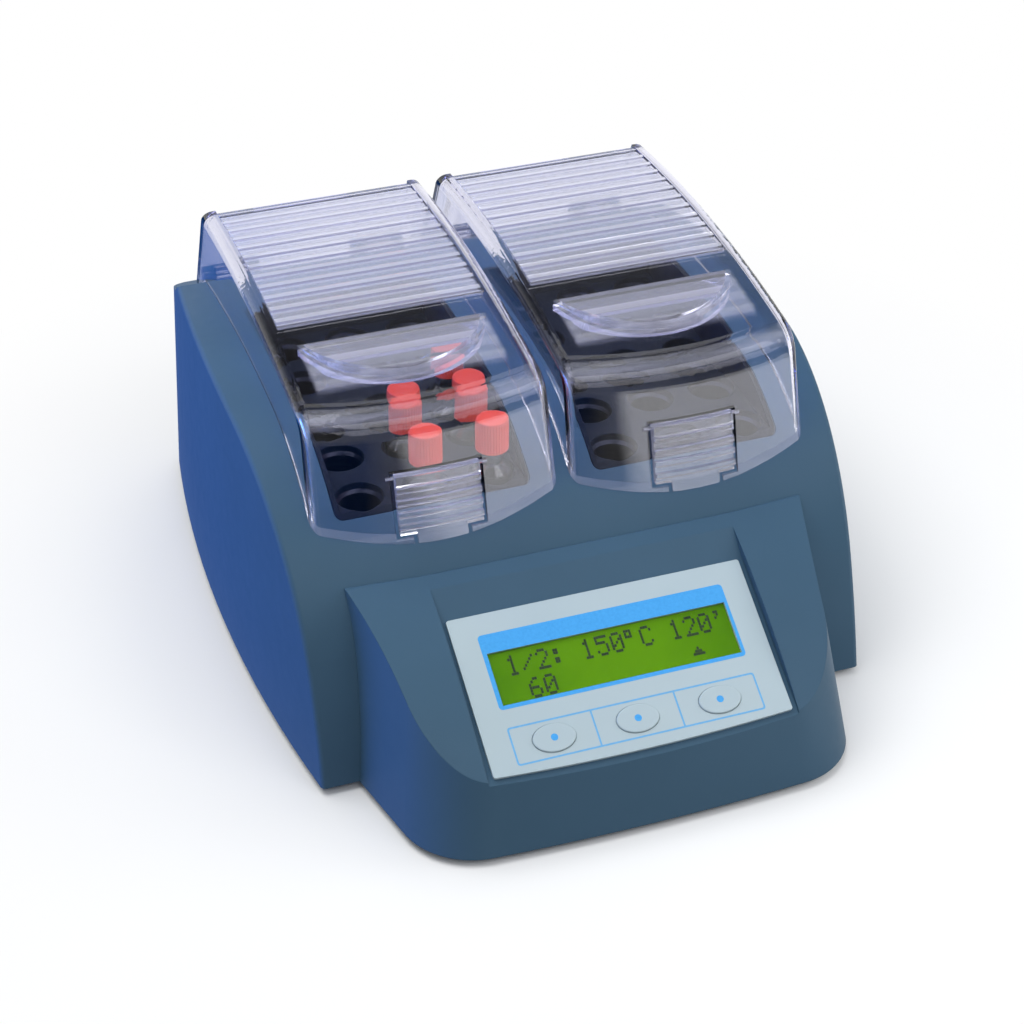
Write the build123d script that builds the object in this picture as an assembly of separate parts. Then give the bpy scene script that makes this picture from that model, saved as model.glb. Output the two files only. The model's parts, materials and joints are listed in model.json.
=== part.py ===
"""Bench reactor for heating sealed sample vials: two heater blocks under two hinged clear lids.

Millimetres. X is to the right, the control console faces -Y and +Z is up. The origin is on
the bench under the centre of the instrument. One STEP file is written for each piece.
"""

from build123d import *
import os
from math import asin, cos, degrees, radians, sin, sqrt, tan

# ---------------------------------------------------------------- overall casing
body_width = 250.0              # across the foot of the casing, at its widest
foot_height = 3.2               # rubber feet below the casing
wall = 3.0                      # moulded casing wall
side_draft = 3.3                # lean of the side and back walls, degrees
side_bow_radius = 732.0         # plan radius of the bowed sides
side_bow_centre_y = 33.0        # where the casing is widest
back_corner_radius = 14.0
front_corner_radius = 4.0
toe_to_lid = 33.2               # toe of the main casing to the lids' front edge

# Side view of the main casing: three tangent arcs from the toe up on to the deck.
toe_angle = 79.5
toe_radius = 261.0
toe_sweep = 11.5
brow_radius = 97.2
brow_sweep = 64.2
deck_radius = 490.0
deck_behind_tray = 48.35        # back of the trays to the hinge shelf
shelf_step = 11.7               # run of the step down to the hinge shelf
hinge_shelf_z = 99.0
back_edge_z = 90.5
shelf_to_hinge = 8.0
hinge_to_back = 15.0
crease_radius = 2.0             # rounded edge between the deck and the walls
crease_low_z = 20.0             # the crease is rounded from here up
deck_low_z = 85.0               # deck openings are cut from here up
plan_overrun = 8.0              # the casing's plan starts this far ahead of its toe
form_margin = 20.0              # construction forms run this far past what they make

# ---------------------------------------------------------------- console
console_reach = 59.0            # console front ahead of the casing's toe
console_root_in = 18.0          # its sides inside the casing's widest, where it leaves the casing
console_root_depth = 36.0       # that place, behind the casing's toe
console_nose_in = 39.0          # the same for its front corners before rounding
console_bow = 3.5               # its front bows out by this
console_corner_radius = 30.0
console_side_lean = 8.0
console_front_lean = 16.7
console_loft_height = 80.0
rim_stations = (8.4, 40.0, 85.0)      # behind the console's front
rim_inner_z = (30.4, 52.9, 74.7)      # top surface beside the recess
rim_outer_z = (32.2, 57.1, 76.2)      # top surface at the outer edge
wing_out = 42.6                 # the outer edge of the dished top, outside the recess
console_front_fall = 14.0       # the dished top falls by this much just past its front

panel_width = 120.2
panel_length = 64.5
panel_thickness = 1.5
panel_bow = 2.0                 # the panel's low edge bows out by this, as the console's front does
panel_angle = 29.1              # slope of the control panel
panel_low_back = 11.5           # lower edge of the panel's face behind the console's front
panel_low_z = 33.5
recess_side_gap = 2.3
recess_low_reach = 12.0         # the recess is cut this far below the panel's low edge
ramp_top_back = 79.5            # the ramp's top behind the console's front
ramp_top_z = 72.8

# ---------------------------------------------------------------- display and keys
display_width = 96.8
display_height = 21.4
display_up = 5.2                # display centre above the panel centre, along the slope
display_seat_clearance = 0.15
display_rim = 3.5               # the module's frame outside its screen
key_length = 17.0
key_width = 11.2
key_proud = 0.7
key_travel = 0.6
key_pitch = 33.4
key_down = 22.1                 # key centres below the panel centre, along the slope
key_clearance = 0.15
key_stem_radius = 1.6
key_edge = 0.5
panel_corner = 1.0
board_gap = 3.0                 # standoff height under the recess floor
board_thickness = 1.6
board_side_gap = 4.1            # board inside the panel's sides
board_end_gap = 3.25
board_edge = 4.0                # standoff centres inside the board's edges
board_boss = 3.0
board_screw = 1.2
board_head = 1.6
tact_size = 6.0
tact_gap = 0.2

# ---------------------------------------------------------------- blocks and wells
well_columns = 3
well_rows = 5
column_pitch = 26.7
row_pitch = 27.7
first_row_y = -39.6
well_clearance = 0.25           # between a vial and its well
well_flare = 1.2                # countersink of a well's mouth
well_floor = 4.8                # metal under a well
block_margin = 1.6              # metal outside the outer wells
tray_floor_z = 95.8
tray_floor = 3.0
tray_wall = 2.0
tray_side_margin = 2.35         # tray outside the block
tray_front_margin = 1.35
tray_back_margin = 3.0
tray_corner_radius = 3.0
tray_clearance = 0.25
block_corner_radius = 4.0
heater_thickness = 4.0
heater_clearance = 0.2
jacket_wall = 8.0
jacket_floor = 4.0
jacket_clearance = 0.2
jacket_play = 0.6               # between a jacket and the casing
post_radius = 5.0
post_height = 6.3
sensor_radius = 2.0
sensor_length = 40.0
sensor_rise = 6.0               # above the underside of the block

# ---------------------------------------------------------------- vials
vial_radius = 8.0
vial_wall = 1.0
vial_shoulder = 72.4            # shoulder above the vial's bottom
vial_neck_radius = 4.4
vial_length = 92.2
cap_radius = 6.5
cap_height = 14.0
cap_cover = 10.0                # length of neck inside the cap
cap_edge = 1.0
liquid_height = 38.0
loaded_wells = ((1, 0), (2, 0), (1, 1), (2, 1), (2, 2))   # column, row in the left block

# ---------------------------------------------------------------- lids
lid_side_margin = 10.9          # lid outside its tray
lid_front_margin = 12.4
lid_half_gap = 2.4              # half the gap between the lids
lid_draft = 1.4
lid_wall = 2.2
lid_gap = 0.8                   # lid edge above the deck
lid_front_z = 82.9
lid_front_lean = 15.0
lid_bow_radius = 190.0
lid_corner_radius = 4.5
lid_brow_radius = 14.0
lid_loft_height = 75.0
lid_plan_depth = 10.0           # the walls' form starts this far below the front edge
lid_top_radius = 571.0
lid_crown_y = 56.3
lid_crown_z = 145.0
lid_back_rake = 19.0            # run of the sloping back wall
lid_back_gap = 2.0              # back wall's foot ahead of the hinge axis
lid_back_drop = 0.7             # and below it
rib_pocket_depth = 1.5
rib_pocket_gap = 14.5           # ribbed panel behind the finger grip
rib_pocket_margin = 7.4
rib_count = 12
rib_width = 2.6
rib_height = 1.1
grip_half = 38.2
grip_back = 63.1                # grip's straight edge behind the lid's front edge
grip_reach = 28.6
grip_depth = 6.4                # floor below the level rim
grip_slope_run = 12.3           # run of the sloping back wall
grip_lip = 2.2

# ---------------------------------------------------------------- lid hinges
hinge_rise = 2.2                # hinge axis above the hinge shelf
knuckle_radius = 4.0
knuckle_offset = 33.0
knuckle_width = 12.0
lug_width = 5.0
lug_gap = 0.4
pin_radius = 1.5
pin_clearance = 0.06
lug_relief = 5.2

# ---------------------------------------------------------------- lid latches
latch_width = 33.4
latch_slot = 1.6
latch_top_z = 113.0
latch_pivot_z = 110.6
trunnion_radius = 0.7
trunnion_reach = 1.9
trunnion_clearance = 0.06
latch_bars = 4
latch_bar = 2.0
latch_head = 4.0                # thick bar across the top of the latch
latch_bar_depth = 1.5
latch_tongue = 20.0             # narrow lower end between the lid's rims
latch_shoulder_z = 88.5

# ---------------------------------------------------------------- base, feet, power entry
base_thickness = 2.5
base_clearance = 0.3
foot_radius = 9.0
foot_chamfer = 0.8
foot_front_in = (55.0, 27.0)    # inside the casing's widest, and behind the console's front
foot_back_in = (33.0, 29.0)     # inside the casing's widest, and ahead of its back
boss_radius = 4.5
screw_radius = 1.6
screw_head_radius = 3.2
screw_head = 1.8
screw_length = 14.0
screw_play = 0.3
vent_rows = 7
vent_pitch = 14.0
vent_length = 50.0
vent_width = 4.0
boss_nose_in = (50.0, 47.0)     # inside the casing's widest, and behind the console's front
boss_front_in = (21.0, 18.0)    # inside the casing's widest, and behind its toe
boss_back_in = (23.0, 19.0)
inlet_in = 51.0                 # inlet inside the casing's widest
inlet_z = 34.0
inlet_width = 27.0
inlet_height = 19.6
inlet_depth = 24.0
inlet_flange_width = 48.0
inlet_flange_height = 24.0
flange_thickness = 0.8
flange_corner = 3.0
socket_width = 24.0
socket_height = 16.6
socket_depth = 16.0
socket_corner = 2.0
blade_pitch = 7.0
blade_thickness = 2.0
blade_width = 4.0
blade_stagger = 3.5             # the earth blade stands this far off the other two
blade_recess = 2.0              # blade tips below the casing's back
rocker_spacing = 44.0           # between the inlet and the switch
rocker_width = 11.0
rocker_height = 22.0
rocker_throw = 9.0
rocker_pivot_depth = 3.0
rocker_frame_border = 2.0
rocker_clearance = 0.3
rocker_body = 4.0               # below the pivot
rocker_face = 3.0               # above the pivot
rocker_dish = 1.2
rocker_room = 6.5               # depth of the opening below the rocker
switch_depth = 20.0
power_board_in = (33.0, 59.0)   # its outer front corner, from the casing's side and back
power_board_width = 90.0
power_board_length = 44.0
power_standoff = 5.0
standoff_radius = 3.0
relay_size = (28.0, 12.0, 15.0)
terminal_size = (20.0, 12.0, 10.0)
capacitor_radius = 8.0
capacitor_height = 20.0
part_spacing = 8.0              # between the parts on the power board
seat_depth = 0.1                # parts are let into their board by this much
transformer_in = (53.0, 47.0)   # its centre, from the casing's side and back
core_width = 44.0
core_depth = 20.0
core_height = 34.0
bobbin_width = 27.0
bobbin_depth = 32.0
bobbin_inset = 4.0              # bobbin below the top of the core and above its foot

# ---------------------------------------------------------------- derived places
base_top_z = foot_height + base_thickness
block_top_z = tray_floor_z - tray_floor
block_bottom_z = base_top_z + post_height + jacket_floor + heater_thickness
block_height = block_top_z - block_bottom_z
jacket_bottom_z = base_top_z + post_height
sensor_z = block_bottom_z + sensor_rise
well_radius = vial_radius + well_clearance
well_mouth_radius = well_radius + well_flare
well_bottom_z = block_bottom_z + well_floor
vial_shoulder_z = well_bottom_z + vial_shoulder
vial_top_z = well_bottom_z + vial_length
cap_base_z = vial_top_z - cap_cover

last_row_y = first_row_y + (well_rows - 1) * row_pitch
block_front_y = first_row_y - well_radius - block_margin
block_back_y = last_row_y + well_radius + block_margin
block_half_x = (well_columns - 1) / 2 * column_pitch + well_radius + block_margin
tray_half_width = block_half_x + tray_side_margin
tray_front_y = first_row_y - well_mouth_radius - tray_front_margin
tray_back_y = last_row_y + well_mouth_radius + tray_back_margin
lid_half_width = tray_half_width + lid_side_margin
block_centre_x = lid_half_width + lid_half_gap

hinge_shelf_y = tray_back_y + deck_behind_tray
hinge_y = hinge_shelf_y + shelf_to_hinge
hinge_z = hinge_shelf_z + hinge_rise
back_y = hinge_y + hinge_to_back
lid_back_y = hinge_y - lid_back_gap
lid_back_z = hinge_z - lid_back_drop
lid_back_top_y = lid_back_y - lid_back_rake
lid_front_y = tray_front_y - lid_front_margin
grip_back_y = lid_front_y + grip_back
rib_pocket_front_y = grip_back_y + rib_pocket_gap
rib_pocket_half = lid_half_width - rib_pocket_margin

casing_front_y = lid_front_y - toe_to_lid
front_y = casing_front_y - console_reach
body_length = back_y - front_y
half_width = body_width / 2
console_root_half = half_width - console_root_in
console_root_y = casing_front_y + console_root_depth
console_nose_half = half_width - console_nose_in
console_corner_y = front_y + console_bow
recess_half = panel_width / 2 + recess_side_gap
wing_half = recess_half + wing_out
ramp_top_y = front_y + ramp_top_back
panel_low_y = front_y + panel_low_back
panel_slope = radians(panel_angle)
panel_centre = Vector(
    0,
    panel_low_y + panel_length / 2 * cos(panel_slope),
    panel_low_z + panel_length / 2 * sin(panel_slope),
)
panel_plane = Plane(
    origin=panel_centre,
    x_dir=(1, 0, 0),
    z_dir=(0, -sin(panel_slope), cos(panel_slope)),
)
board_width = panel_width - 2 * board_side_gap
board_length = panel_length - 2 * board_end_gap
inlet_x = half_width - inlet_in
rocker_x = inlet_x - rocker_spacing
SIDES = {"left": -1, "right": 1}


def span_box(x_range, y_range, z_range):
    """A box given by its two limits along each axis."""
    size = [high - low for low, high in (x_range, y_range, z_range)]
    centre = [(high + low) / 2 for low, high in (x_range, y_range, z_range)]
    return Pos(*centre) * Box(*size)


def side_view(face, half_width):
    """Extrudes an outline drawn as (y, z) to both sides of the middle plane."""
    return extrude(Plane.YZ * face, amount=half_width, both=True)


def rod_x(radius, x_centre, length, y, z):
    """A round bar along X."""
    return Pos(x_centre, y, z) * Rot(0, 90, 0) * Cylinder(radius, length)


# ================================================================ casing forms
def casing_plan(inset):
    """Foot outline of the main casing: a lens of two long arcs, cut front and back."""
    arc = side_bow_radius - inset
    offset_x = body_width / 2 - side_bow_radius
    lens = Pos(offset_x, side_bow_centre_y) * Circle(arc)
    lens &= Pos(-offset_x, side_bow_centre_y) * Circle(arc)
    low = casing_front_y - plan_overrun + inset
    high = back_y - inset
    plan = lens & Pos(0, (low + high) / 2) * Rectangle(2 * body_width, high - low)
    front = plan.vertices().filter_by(lambda v: v.Y < side_bow_centre_y)
    plan = fillet(front, front_corner_radius)
    back = plan.vertices().filter_by(lambda v: v.Y > high - 0.01)
    return fillet(back, back_corner_radius - inset)


def deck_outline(inset):
    """Side view of the main casing, moved in by the inset."""
    start = (casing_front_y, foot_height)
    lean = (cos(radians(toe_angle)), sin(radians(toe_angle)))
    toe = JernArc(start, lean, toe_radius, -toe_sweep)
    brow = JernArc(toe @ 1, toe % 1, brow_radius, -brow_sweep)
    rise = radians(toe_angle - toe_sweep - brow_sweep)
    run = hinge_shelf_y - shelf_step - (brow @ 1).X
    deck_sweep = degrees(rise - asin(sin(rise) - run / deck_radius))
    deck = JernArc(brow @ 1, brow % 1, deck_radius, -deck_sweep)
    under = foot_height - form_margin
    behind = back_y + form_margin
    edges = [
        Line((casing_front_y, under), start),
        toe,
        brow,
        deck,
        Line(deck @ 1, (hinge_shelf_y, hinge_shelf_z)),
        Line((hinge_shelf_y, hinge_shelf_z), (behind, shelf_height(behind))),
        Line((behind, shelf_height(behind)), (behind, under)),
        Line((behind, under), (casing_front_y, under)),
    ]
    face = make_face(edges)
    if inset:
        face = offset(face, amount=-inset, kind=Kind.INTERSECTION)
    return face


def shelf_height(y):
    """Height of the sloping hinge shelf at a place along the casing."""
    slope = (back_edge_z - hinge_shelf_z) / (back_y - hinge_shelf_y)
    return hinge_shelf_z + slope * (y - hinge_shelf_y)


def casing_main(inset):
    """The main casing without its console."""
    plan = Pos(0, 0, foot_height) * casing_plan(inset)
    prism = extrude(plan, amount=body_width / 2, taper=side_draft)
    return prism & side_view(deck_outline(inset), body_width)


def console_plan(inset, height):
    """Console outline at a height above the foot: leaning sides, rounded bowed front."""
    sides_in = inset + height * tan(radians(console_side_lean))
    front_in = inset + height * tan(radians(console_front_lean))
    corner_y = console_corner_y + front_in
    nose_y = front_y + front_in
    root = console_root_half - sides_in
    nose = console_nose_half - sides_in
    bow = ThreePointArc((-nose, corner_y), (0, nose_y), (nose, corner_y))
    outline = make_face(
        [
            Line((root, console_root_y), (-root, console_root_y)),
            Line((-root, console_root_y), (-nose, corner_y)),
            bow,
            Line((nose, corner_y), (root, console_root_y)),
        ]
    )
    corners = outline.vertices().filter_by(lambda v: v.Y < console_root_y - form_margin)
    rounded = fillet(corners, console_corner_radius - inset)
    return Pos(0, 0, foot_height + height) * rounded


def console_section(heights, inset):
    """Side view under one line of the console's top surface."""
    drop = inset / cos(panel_slope)
    points = [(front_y + y, z - drop) for y, z in zip(rim_stations, heights)]
    front, _, rear = points
    ahead = front[0] - form_margin
    behind = rear[0] + form_margin
    return make_face(
        [
            ThreePointArc(*points),
            Line(rear, (behind, rear[1])),
            Line((behind, rear[1]), (behind, -form_margin)),
            Line((behind, -form_margin), (ahead, -form_margin)),
            Line((ahead, -form_margin), (ahead, front[1] - console_front_fall)),
            Line((ahead, front[1] - console_front_fall), front),
        ]
    )


def console_main(inset):
    """The console, whose top is dished from its outer edges towards the recess."""
    body = loft(
        [console_plan(inset, 0), console_plan(inset, console_loft_height)], ruled=True
    )
    inner = console_section(rim_inner_z, inset)
    outer = console_section(rim_outer_z, inset)
    top = side_view(inner, recess_half)
    for side in (-1, 1):
        near = Plane.YZ.offset(side * recess_half) * inner
        far = Plane.YZ.offset(side * wing_half) * outer
        top += loft([near, far], ruled=True)
    return body & top


def recess_cut(grow):
    """Space of the recess above the control panel, grown for the wall beneath it."""
    seat = panel_thickness + grow
    down = Vector(sin(panel_slope) * seat, -cos(panel_slope) * seat)
    along = Vector(cos(panel_slope), sin(panel_slope))
    low = Vector(panel_low_y, panel_low_z)
    high = low + along * panel_length
    before = low - along * recess_low_reach
    face = make_face(
        Polyline(
            tuple(before + down)[:2],
            tuple(high + down)[:2],
            (ramp_top_y + grow, ramp_top_z - grow),
            (ramp_top_y + form_margin / 5, ramp_top_z + 2 * form_margin),
            tuple(before + Vector(0, 3 * form_margin))[:2],
            close=True,
        )
    )
    return side_view(face, recess_half + grow)


def boss(x, y, form):
    """A screw boss from the base plate up to the inside of the casing."""
    column = Pos(x, y, base_top_z + body_width / 4) * Cylinder(boss_radius, body_width / 2)
    pilot_height = screw_length - base_thickness + screw_head
    pilot = Pos(x, y, base_top_z + pilot_height / 2) * Cylinder(screw_radius, pilot_height)
    return (column & form) - pilot


def boss_places():
    """Plan positions of the four casing screws and the console's two."""
    nose = (half_width - boss_nose_in[0], front_y + boss_nose_in[1])
    front = (half_width - boss_front_in[0], casing_front_y + boss_front_in[1])
    back = (half_width - boss_back_in[0], back_y - boss_back_in[1])
    return [(side * x, y) for side in (-1, 1) for x, y in (nose, front, back)]


def deck_opening(clearance):
    """Plan outline of one tray, grown by a clearance, about the block's centre line."""
    half = tray_half_width + clearance
    low = tray_front_y - clearance
    high = tray_back_y + clearance
    outline = Pos(0, (low + high) / 2) * Rectangle(2 * half, high - low)
    return fillet(outline.vertices(), tray_corner_radius + clearance)


def key_centres():
    """Centres of the three keys on the panel."""
    return [(step * key_pitch, -key_down) for step in (-1, 0, 1)]


def board_bosses():
    """Places of the control board's standoffs on the panel plane."""
    x = board_width / 2 - board_edge
    y = board_length / 2 - board_edge
    return [(sx * x, sy * y) for sx in (-1, 1) for sy in (-1, 1)]


def back_plane(x, z):
    """The leaning back wall at one place, facing outwards."""
    lean = radians(side_draft)
    y = back_y - (z - foot_height) * tan(lean)
    return Plane(origin=(x, y, z), x_dir=(-1, 0, 0), z_dir=(0, cos(lean), sin(lean)))


def hinge_lugs(centre):
    """Two pairs of lugs on the hinge shelf, bored for the pins."""
    lugs = Part()
    step = knuckle_width / 2 + lug_gap + lug_width / 2
    for knuckle in (-1, 1):
        for side in (-1, 1):
            x = centre + knuckle * knuckle_offset + side * step
            lugs += rod_x(knuckle_radius, x, lug_width, hinge_y, hinge_z)
            lugs += span_box(
                (x - lug_width / 2, x + lug_width / 2),
                (hinge_y - knuckle_radius, hinge_y + knuckle_radius),
                (shelf_height(hinge_y) - wall, hinge_z),
            )
    return lugs


def hinge_bore(centre, radius):
    """Bar through both hinges of one lid."""
    length = 2 * (knuckle_offset + knuckle_width / 2 + lug_gap + lug_width)
    return rod_x(radius, centre, length, hinge_y, hinge_z)


def moulded_shell():
    """Casing and console as one skin, open underneath, with every cut-out, lug and boss."""
    outer = rounded_casing() + console_main(0)
    inner = casing_main(wall) + console_main(wall) - recess_cut(wall)
    recess = recess_cut(0)
    shell = outer - recess - inner
    form = outer - recess
    for x, y in boss_places():
        shell += boss(x, y, form)
    floor = panel_thickness + wall
    for x, y in board_bosses():
        post = Cylinder(board_boss, board_gap + wall / 2)
        shell += panel_plane * Pos(x, y, -floor - board_gap / 2 + wall / 4) * post
    for x, y in board_bosses():
        bore = Cylinder(board_screw, board_gap)
        shell -= panel_plane * Pos(x, y, -floor - board_gap / 2) * bore
    width = display_width + 2 * display_seat_clearance
    height = display_height + 2 * display_seat_clearance
    shell -= panel_plane * Pos(0, display_up, -floor / 2) * Box(width, height, 2 * floor)
    for x, y in key_centres():
        stem = Pos(x, y, -floor / 2) * Cylinder(key_stem_radius + 2 * key_clearance, 2 * floor)
        shell -= panel_plane * stem
    for side in SIDES.values():
        centre = side * block_centre_x
        opening = Pos(centre, 0, deck_low_z) * deck_opening(tray_clearance)
        shell -= extrude(opening, amount=body_width / 2)
        shell += hinge_lugs(centre)
        shell -= hinge_bore(centre, pin_radius)
    shell -= back_plane(inlet_x, inlet_z) * Box(inlet_width, inlet_height, 4 * wall)
    frame = rocker_frame_outline(0)
    shell -= back_plane(rocker_x, inlet_z) * extrude(frame, amount=2 * wall, both=True)
    return shell


def housings():
    """The skin parted where the console meets the toe of the main casing."""
    shell = moulded_shell()
    front = console_main(0) - casing_main(0)
    return shell - front, shell & front


def rounded_casing():
    """The main casing with its long side creases rounded as far as the hinge shelf."""
    body = casing_main(0)
    high = body.edges().filter_by(lambda e: e.center().Z > crease_low_z)
    curved = high.filter_by(GeomType.BSPLINE)
    return fillet(curved, crease_radius)


# ================================================================ base
def base_plate():
    """Flat base inside the casing's lower edge, slotted under the blocks."""
    inset = wall + base_clearance
    form = casing_main(inset) + console_main(inset)
    slab = Pos(0, 0, foot_height + base_thickness / 2)
    plate = form & slab * Box(2 * body_width, 2 * body_length, base_thickness)
    for side in SIDES.values():
        for row in range(vent_rows):
            y = (row - (vent_rows - 1) / 2) * vent_pitch + (first_row_y + last_row_y) / 2
            slot = SlotOverall(vent_length, vent_width)
            cut = extrude(slot, amount=2 * base_thickness, both=True)
            plate -= Pos(side * block_centre_x, y, foot_height) * cut
    for x, y in boss_places():
        shank = Cylinder(screw_radius + screw_play, 4 * base_thickness)
        sink = Cylinder(screw_head_radius + screw_play, 2 * screw_head)
        plate -= [Pos(x, y, foot_height) * shank, Pos(x, y, foot_height) * sink]
    return plate


def feet():
    """Four rubber feet under the base plate."""
    pads = []
    front = (half_width - foot_front_in[0], front_y + foot_front_in[1])
    back = (half_width - foot_back_in[0], back_y - foot_back_in[1])
    for x, y in (front, back):
        for side in (-1, 1):
            pad = Cylinder(foot_radius, foot_height)
            low = pad.edges().sort_by(Axis.Z)[0]
            pads.append(Pos(side * x, y, foot_height / 2) * chamfer(low, foot_chamfer))
    return Compound(children=pads)


def base_screws():
    """Four screws up through the base plate into the casing's bosses."""
    screws = []
    for x, y in boss_places():
        head = Pos(0, 0, screw_head / 2) * Cylinder(screw_head_radius, screw_head)
        shank = Pos(0, 0, screw_length / 2) * Cylinder(screw_radius, screw_length)
        screws.append(Pos(x, y, foot_height) * (head + shank))
    return Compound(children=screws)


# ================================================================ blocks
def well_centres():
    """Column and row of every well with its place about the block's centre line."""
    for column in range(well_columns):
        for row in range(well_rows):
            x = (column - (well_columns - 1) / 2) * column_pitch
            yield (column, row), x, first_row_y + row * row_pitch


def block_tray():
    """Black tray set flush in the deck, with a mouth over each well."""
    outline = Pos(0, 0, block_top_z) * deck_opening(0)
    body = extrude(outline, amount=body_width / 2)
    pocket_outline = offset(deck_opening(0), amount=-tray_wall)
    pocket = extrude(Pos(0, 0, tray_floor_z) * pocket_outline, amount=body_width / 2)
    tray = (body & side_view(deck_outline(0), body_width)) - pocket
    middle_z = tray_floor_z - tray_floor / 2
    mouths = [
        Pos(x, y, middle_z) * Cylinder(well_mouth_radius, 2 * tray_floor)
        for _, x, y in well_centres()
    ]
    return tray - mouths


def temperature_sensor():
    """Sensor rod let into the block's back, between two columns of wells."""
    rod = Rot(90, 0, 0) * Cylinder(sensor_radius, sensor_length)
    return Pos(column_pitch / 2, block_back_y - sensor_length / 2, sensor_z) * rod


def heater_block():
    """Aluminium block bored for the vials, with countersunk mouths."""
    body = span_box(
        (-block_half_x, block_half_x),
        (block_front_y, block_back_y),
        (block_bottom_z, block_top_z),
    )
    body = fillet(body.edges().filter_by(Axis.Z), block_corner_radius)
    depth = block_top_z - well_bottom_z
    cuts = []
    for _, x, y in well_centres():
        cuts.append(Pos(x, y, block_top_z - depth / 2) * Cylinder(well_radius, depth))
        sink = Cone(well_radius, well_mouth_radius, well_flare)
        cuts.append(Pos(x, y, block_top_z - well_flare / 2) * sink)
    return body - cuts - temperature_sensor()


def heater_plate():
    """Flat heating element against the underside of the block."""
    inset = heater_clearance
    return span_box(
        (-block_half_x + inset, block_half_x - inset),
        (block_front_y + inset, block_back_y - inset),
        (block_bottom_z - heater_thickness, block_bottom_z),
    )


def insulation_jacket():
    """Heat-proof jacket round the block, trimmed to the inside of the casing."""
    grow = jacket_clearance + jacket_wall
    body = span_box(
        (-block_half_x - grow, block_half_x + grow),
        (block_front_y - grow, block_back_y + grow),
        (jacket_bottom_z, block_top_z),
    )
    pocket = span_box(
        (-block_half_x - jacket_clearance, block_half_x + jacket_clearance),
        (block_front_y - jacket_clearance, block_back_y + jacket_clearance),
        (block_bottom_z - heater_thickness, block_top_z + 1),
    )
    inside = side_view(deck_outline(wall + jacket_play), body_width)
    return (body & inside) - pocket


def support_posts():
    """Four posts that hold a jacket off the base plate."""
    x = block_half_x - post_radius
    posts = []
    for side in (-1, 1):
        for y in (block_front_y + post_radius, block_back_y - post_radius):
            post = Cylinder(post_radius, post_height)
            posts.append(Pos(side * x, y, base_top_z + post_height / 2) * post)
    return Compound(children=posts)


# ================================================================ vials
def vial_profile(radius, neck, bottom_z, shoulder_z, top_z):
    """Half section of a round-bottomed vial with a narrower neck."""
    rise = radius - neck
    arc = ThreePointArc(
        (0, bottom_z),
        (radius * sin(radians(45)), bottom_z + radius * (1 - cos(radians(45)))),
        (radius, bottom_z + radius),
    )
    rest = Polyline(
        (radius, bottom_z + radius),
        (radius, shoulder_z),
        (neck, shoulder_z + rise),
        (neck, top_z),
        (0, top_z),
        (0, bottom_z),
    )
    return make_face([arc] + rest.edges())


def spin(profile):
    """Revolves a half section drawn as (radius, height)."""
    return revolve(Plane.XZ * profile, Axis.Z, 360)


def at_loaded_wells(piece):
    """Copies a piece into every loaded well of the left block."""
    copies = []
    for place, x, y in well_centres():
        if place in loaded_wells:
            copies.append(Pos(-block_centre_x + x, y, 0) * piece)
    return Compound(children=copies)


def vial_pieces():
    """Glass, sample and cap of one vial standing in its well."""
    bottom = well_bottom_z
    inner_neck = vial_neck_radius - vial_wall
    inner = vial_radius - vial_wall
    outer_half = vial_profile(vial_radius, vial_neck_radius, bottom, vial_shoulder_z, vial_top_z)
    inner_half = vial_profile(inner, inner_neck, bottom + vial_wall, vial_shoulder_z, vial_top_z)
    outside = spin(outer_half)
    inside = spin(inner_half)
    level = bottom + vial_wall + liquid_height
    below = Pos(0, 0, level / 2) * Cylinder(2 * vial_radius, level)
    cap = Pos(0, 0, cap_base_z + cap_height / 2) * Cylinder(cap_radius, cap_height)
    cap = fillet(cap.edges().sort_by(Axis.Z)[-1], cap_edge)
    cap -= Pos(0, 0, cap_base_z + cap_cover / 2) * Cylinder(vial_neck_radius, cap_cover)
    return outside - inside, inside & below, cap


# ================================================================ lids
def lid_plan(inset, height):
    """Lid outline at a height above its front edge: bowed front, leaning walls."""
    lean = radians(lid_front_lean)
    half = lid_half_width - inset - height * tan(radians(lid_draft))
    nose = lid_front_y + height * tan(lean) + inset / cos(lean)
    sag = lid_bow_radius - sqrt(lid_bow_radius**2 - half**2)
    rear = lid_back_y + form_margin
    outline = make_face(
        [
            ThreePointArc((-half, nose + sag), (0, nose), (half, nose + sag)),
            Line((half, nose + sag), (half, rear)),
            Line((half, rear), (-half, rear)),
            Line((-half, rear), (-half, nose + sag)),
        ]
    )
    return Pos(0, 0, lid_front_z + height) * outline


def lid_top(y, inset):
    """Height of the lid's crown at a place along it."""
    radius = lid_top_radius - inset
    return lid_crown_z - lid_top_radius + sqrt(radius**2 - (y - lid_crown_y) ** 2)


def lid_side(inset, top_inset):
    """Side view of the lid: crowned top and sloping back."""
    slope = (lid_back_top_y - lid_back_y) / (lid_top(lid_back_top_y, 0) - lid_back_z)
    shift = inset * sqrt(1 + slope**2)
    top_y = lid_back_top_y - shift
    low_z = lid_front_z - form_margin
    low_y = lid_back_y - shift + slope * (low_z - lid_back_z)
    start = (lid_front_y - form_margin, lid_top(lid_front_y - form_margin, top_inset))
    end = (top_y, lid_top(top_y, top_inset))
    crown = (lid_crown_y, lid_top(lid_crown_y, top_inset))
    return make_face(
        [
            ThreePointArc(start, crown, end),
            Line(end, (low_y, low_z)),
            Line((low_y, low_z), (start[0], low_z)),
            Line((start[0], low_z), start),
        ]
    )


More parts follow.
